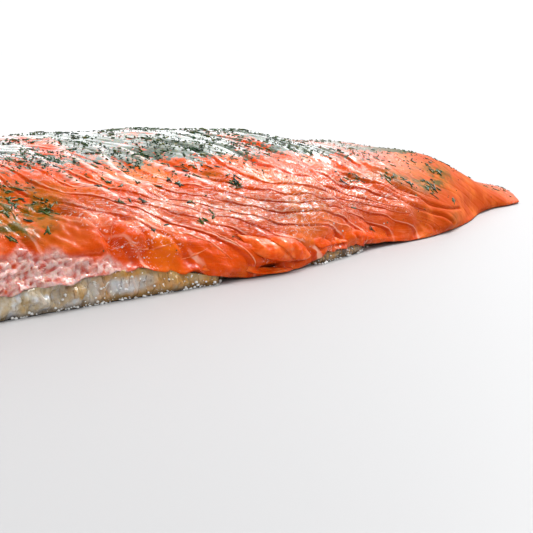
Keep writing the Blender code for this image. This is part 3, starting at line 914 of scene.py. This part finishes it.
# Brine that the cure has drawn out: small drops that stand in a row where the band meets the
# surface below, and a few on the flesh.
DROP_SEED = 5
DROP_ROWS = ((-96, -30, 170), (1.5, 26, 60), (30, 42, 16))
DROPS_ON_FLESH = 60
DROP_SIZE = (0.12, 0.46)
DROP_SQUAT = 0.8
BRINE_GLINT_WARM = (0.9, 0.88, 0.84)
BRINE_GLINT_CLEAR = (0.97, 0.98, 0.98)


def drop_shape():
    """A squat dome closed below: rings of eight points whose radius and height go as the cosine
    and sine of the climb."""
    climb = np.radians([-40, -10, 20, 50, 75])[:, None]
    turn = np.linspace(0, 2 * np.pi, 9)[:-1]
    rings = columns(np.cos(climb) * np.cos(turn), np.cos(climb) * np.sin(turn),
                    np.sin(climb) * DROP_SQUAT)
    quads = np.roll(ring_quads(5, 8)[:, ::-1], 1, axis=1)
    return rings.reshape(-1, 3), quads, np.array([range(7, -1, -1), range(32, 40)])


def copies(name, local, first, outward, point, *faces):
    """A mesh of copies of a shape, each of its own corners, turned so that its X goes along first
    and its Z outward, and set on its point."""
    axes = np.stack([first, np.cross(outward, first), outward], 1)
    step = (np.arange(len(point)) * local.shape[1])[:, None, None]
    faces = [(group[None] + step).reshape(-1, group.shape[1]) for group in faces]
    return surface(name, point[:, None] + local @ axes, *faces)


draw = np.random.default_rng(DROP_SEED)
along_x = np.concatenate([draw.uniform(low, high, count) for low, high, count in DROP_ROWS])
size = draw.uniform(0.0, 1.0, len(along_x)) ** 1.7 * (DROP_SIZE[1] - DROP_SIZE[0]) + DROP_SIZE[0]
back, belly = edges(along_x)
climb = draw.uniform(0.0, 1.0, len(size)) ** 3.5 * band_height(along_x) * 0.75
bulge = 0.3 + 0.45 * np.sin(np.pi * climb / (band_height(along_x) + 0.5))
out = bulge + size * draw.uniform(0.0, 0.5, len(size))
foot = columns(along_x, back + skin_front(along_x) - out, size * 0.5 + climb)
x = draw.uniform(-95, 50, DROPS_ON_FLESH)
s = draw.uniform(0.02, 0.2, DROPS_ON_FLESH)
on_flesh, leaning = dressed(x, s)
small = draw.uniform(0.0, 1.0, DROPS_ON_FLESH) ** 3 * 0.25 + 0.13
outward = np.concatenate([foot * 0 + (0, 0, 1), leaning])
shape, *faces = drop_shape()
shape = shape[None] * np.concatenate([size, small])[:, None, None]
drops = copies("brine_drops", shape, unit(np.cross(outward, (0.3, 0.2, 0.93))), outward,
               np.concatenate([foot, on_flesh]), *faces)
brine = Paint("brine", Roughness=0.03, Transmission_Weight=0.25, IOR=1.4, Coat_Weight=1.0,
              Coat_Roughness=0.03)
cloud = brine.noise(400, 1).between(0.3, 0.7)
# Cloudy brine, painted near white: the colour also stands in for the drops' glints.
brine.feed(Base_Color=cloud.mix(BRINE_GLINT_WARM, BRINE_GLINT_CLEAR))
brine.on(drops)
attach(drops, "root")

# Chopped dill: thousands of threads and crumbs of the fronds, cut 1 to 5 mm long, stuck to the
# wet flesh. They lie thick on the top and over to the belly side, and thin out down the slope.
DILL_SEED = 11
DILL_COUNT = 4300
DILL_THREAD = (0.95, 0.24)
CRUMB_COUNT = 7500
CRUMB_SIZE = 0.26
OVERDRAWN = 9
# A single bit: x and share. A clump: x, share, number of bits, and spread.
DILL_SINGLES = (
    (-56.1, 0.233), (-50.3, 0.255), (-49.2, 0.199), (-45.2, 0.195), (-53.3, 0.191), (-29.8, 0.197),
    (-24.9, 0.171), (-31.7, 0.138), (-49.6, 0.11), (-28.8, 0.263), (-27.1, 0.251), (-29.6, 0.146),
    (-25.3, 0.159), (-73.5, 0.209), (-79.6, 0.138), (-90.7, 0.134), (40.9, 0.056), (35.8, 0.12),
    (84.2, 0.181), (130, 0.27), (-46.2, 0.317),
)
SINGLE_DRAWS = 4
DILL_CLUMPS = (
    (-10.0, 0.236, 30, 1.7), (42, 0.226, 9, 2.6), (49, 0.226, 12, 3.0), (63, 0.24, 16, 5.0),
    (83, 0.19, 18, 3.6), (-80, 0.25, 26, 5.0), (-84, 0.225, 16, 4.0), (-73, 0.212, 18, 3.2),
    (-50, 0.25, 8, 3.0), (97, 0.265, 14, 4.5), (33, 0.331, 5, 2.0), (93, 0.128, 4, 2.0),
    (-21, 0.285, 14, 4.0), (-36, 0.33, 20, 6.0), (70, 0.21, 9, 5.0), (-14, 0.33, 22, 7.0),
)
DILL_GREEN = (0.034, 0.092, 0.02)
DILL_DARK = (0.01, 0.03, 0.016)
DILL_OLIVE = (0.12, 0.12, 0.01)


def flesh_spots(u, s):
    """The surface point, outward direction and along-fillet direction at each pair of u and s,
    from three near points of the dressed surface."""
    near_u = u[:, None, None] + np.array([[0.0, 0.0], [0.5, 0.5]])[None]
    near_s = s[:, None, None] + np.array([[0.0, 0.006], [0.0, 0.006]])[None]
    x = slanted(near_u, near_s)
    base = columns(x, *flesh_section(x, near_s))
    along, across = base[:, 1, 0] - base[:, 0, 0], base[:, 0, 1] - base[:, 0, 0]
    outward = unit(np.cross(along, across))
    point = raised(base[:, 0, 0], outward, u, x[:, 0, 0], s)
    return lean_cut(point), outward, unit(along)


def thread_shape():
    """A bent, flattened thread along X: four rings of four corners, tapering to both ends."""
    at = np.array([-1.0, -0.35, 0.35, 1.0])[:, None]
    wide = np.array([0.55, 1.0, 0.95, 0.45])[:, None]
    rings = columns(at, wide * (1, 0, -1, 0), wide * (0, 0.8, 0, -0.8))
    caps = [(0, 1, 2, 3), (15, 14, 13, 12)]
    return rings.reshape(-1, 3), np.concatenate([ring_quads(4, 4), caps])


def crumb_shape():
    """A lopsided lump with six corners and eight triangles."""
    round_it = [(1.2, 0, 0), (0, 0.9, 0.1), (-1.0, 0.1, 0), (0, -1.0, 0)]
    upper = [(0, 1, 4), (1, 2, 4), (2, 3, 4), (3, 0, 4)]
    lower = [(1, 0, 5), (2, 1, 5), (3, 2, 5), (0, 3, 5)]
    return np.array(round_it + [(0.1, 0, 0.8), (0, 0.1, -0.8)]), np.array(upper + lower)


def scatter_dill(draw, count, thin):
    """u and s of each bit: drawn evenly, and kept by how thick the dill lies there, with thin of
    it even where it is thinnest."""
    u, s = draw.uniform(-160, 158, count * OVERDRAWN), draw.uniform(0.05, 0.96, count * OVERDRAWN)
    x = slanted(u, s)
    back, belly = edges(x)
    clump = ripple(flat_place(x, s), 14.0, 31)
    thick = thin + (1 - thin) * ease((s - 0.23) / 0.12) * (1 - 0.5 * ease((s - 0.8) / 0.15))
    thick *= (belly - back) / SHARE_LENGTH * ease(0.9 + 0.9 * clump)
    thick *= 1 - 0.6 * ease((x - 20) / 60)
    kept = np.flatnonzero(draw.uniform(size=len(u)) < thick)[:count]
    return u[kept], s[kept]


def lay_bits(name, shape, faces, spots, length, wide, turn, bend, lift):
    """Copies of the shape, each stretched, bent in the surface's plane by the square of its
    length, turned about the outward direction, and laid on its point."""
    point, outward, along = spots
    local = shape[None] * np.stack([length, wide, wide * 0.8], -1)[:, None, :]
    local[..., 1] += bend[:, None] * (local[..., 0] ** 2)
    local[..., 2] += lift[:, None]
    side = np.cross(outward, along)
    first = along * np.cos(turn)[:, None] + side * np.sin(turn)[:, None]
    return copies(name, local, first, outward, point, faces)


draw = np.random.default_rng(DILL_SEED)
u, s = scatter_dill(draw, DILL_COUNT, 0.012)
placed = [(x + draw.normal() * 0.3, share + draw.normal() * 0.002)
          for x, share in DILL_SINGLES for _ in range(SINGLE_DRAWS)]
placed += [(x + draw.normal() * wide * 0.6, share + draw.normal() * wide * 0.004)
           for x, share, number, wide in DILL_CLUMPS for _ in range(number)]
placed = np.array(placed)
u = np.concatenate([u, start_of(placed[:, 0], placed[:, 1])])
s = np.concatenate([s, placed[:, 1]])
x, count = slanted(u, s), len(u)
bigger = 1.3 + 0.2 * ease((-60 - x) / 12) + 0.35 * ease((x - 30) / 12)
coarse = np.where(np.arange(count) >= count - len(placed), bigger, 1.0)
dill = lay_bits(
    "chopped_dill", *thread_shape(), flesh_spots(u, s),
    (0.28 + 1.1 * draw.uniform(size=count) ** 2.2) * coarse * DILL_THREAD[0],
    draw.uniform(0.5, 1.5, count) * coarse**0.5 * DILL_THREAD[1], draw.uniform(0, np.pi, count),
    draw.uniform(-0.35, 0.35, count) / coarse**2, draw.uniform(0.05, 0.25, count))
u, s = scatter_dill(draw, CRUMB_COUNT, 0.02)
count = len(u)
crumbs = lay_bits(
    "dill_crumbs", *crumb_shape(), flesh_spots(u, s), draw.uniform(0.5, 1.7, count) * CRUMB_SIZE,
    draw.uniform(0.5, 1.2, count) * CRUMB_SIZE, draw.uniform(0, np.pi, count), np.zeros(count),
    draw.uniform(0.0, 0.12, count))
green = Paint("chopped dill", Roughness=0.6, Specular_IOR_Level=0.25, Coat_Weight=0.45,
              Coat_Roughness=0.12)
shade = green.noise(160).between(0.35, 0.65).mix(DILL_DARK, DILL_GREEN)
olive = green.noise(420, 1).between(0.52, 0.68).mix(shade, DILL_OLIVE)
green.feed(Base_Color=olive)
green.bump((green.noise(3000), 0.0001))
green.on(dill, crumbs)
for piece in (dill, crumbs):
    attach(piece, "root")

# A plain pale floor, which glows more further out as painted light, a bright studio round it, and
# the camera, low and close.
FLOOR_SIDE = 2600
FLOOR_GREY = (0.44, 0.435, 0.44)
FLOOR_PALE = (0.8, 0.8, 0.8)
FLOOR_GLOW = (0.6, 0.6, 0.6)
LIGHT_AIM = (0, 0, 0.02)
CAMERA_PLACE = (-0.30665, -0.33454, 0.073)
CAMERA_LENS = 101.3
CAMERA_TURN = 47.5
CAMERA_DOWN = 10.074
STUDIO_GLOW = {"From Min": 0.6, "From Max": 0.97, "To Min": 0.24, "To Max": 1.7}
BACKDROP_GLOW = 1.06

corners = np.array([(-1, -1, 0), (1, -1, 0), (1, 1, 0), (-1, 1, 0)])
floor = surface("floor", corners * FLOOR_SIDE / 2, np.array([[0, 1, 2, 3]]))
pale = Paint("pale floor", Roughness=0.5, Specular_IOR_Level=0.3)
# Painted light: the floor glows more with distance, fading into the bright backdrop.
far = pale.node("VectorMath", {"operation": "LENGTH"}, {0: pale.spot}, "Value").between(0.25, 0.65)
pale.shader.inputs["Emission Strength"].default_value = 1.0
pale.feed(Base_Color=(pale.noise(3) * 0.04).mix(FLOOR_GREY, FLOOR_PALE),
          Emission_Color=far.mix((0, 0, 0), FLOOR_GLOW))
pale.on(floor)


def stand(made, place, way):
    """Puts a lamp or the camera at its place, facing along way."""
    made.location = place
    made.rotation_euler = Vector(way).to_track_quat("-Z", "Y").to_euler()
    bpy.context.scene.collection.objects.link(made)


def soft_light(name, place, size, power, shines=True):
    """A square area light turned to the fillet. One that doesn't shine makes no highlights."""
    lamp = bpy.data.lights.new(name, "AREA")
    lamp.size, lamp.energy = size, power
    made = bpy.data.objects.new(name, lamp)
    made.visible_camera, made.visible_glossy = False, shines
    stand(made, place, Vector(LIGHT_AIM) - Vector(place))


soft_light("right_window", (0.85, 0.05, 0.78), 0.46, 13.0)
soft_light("front_fill", (-0.55, -0.95, 0.6), 0.9, 6.5, shines=False)
soft_light("overhead_fill", (0.05, -0.15, 1.2), 0.9, 9.0, shines=False)
world = bpy.data.worlds.new("studio")
world.use_nodes = True
sky = Nodes(world.node_tree)
towards_glow = sky.node("VectorMath", {"operation": "DOT_PRODUCT"}, {
    0: sky.node("TexCoord", out="Generated"), 1: (0.71, 0.66, 0.24)}, "Value")
glow = sky.node("MapRange", {}, {"Value": towards_glow, **STUDIO_GLOW})
seen = sky.node("LightPath", out="Is Camera Ray")
strength = sky.node("Mix", {}, {0: seen, 2: glow, 3: BACKDROP_GLOW})
background = sky.tree.nodes["Background"]
sky.tree.links.new(strength.socket, background.inputs["Strength"])
background.inputs["Color"].default_value = (0.955, 0.99, 1.0, 1)
bpy.context.scene.world = world
bpy.context.scene.view_settings.view_transform = "Standard"
bpy.context.scene.cycles.use_denoising = True

down, turn = math.radians(CAMERA_DOWN), math.radians(CAMERA_TURN)
lens = bpy.data.cameras.new("camera")
lens.lens, lens.sensor_width, lens.clip_start = CAMERA_LENS, 36, 0.01
camera = bpy.data.objects.new("camera", lens)
level = math.cos(down)
stand(camera, CAMERA_PLACE, (math.sin(turn) * level, math.cos(turn) * level, -math.sin(down)))
bpy.context.scene.camera = camera
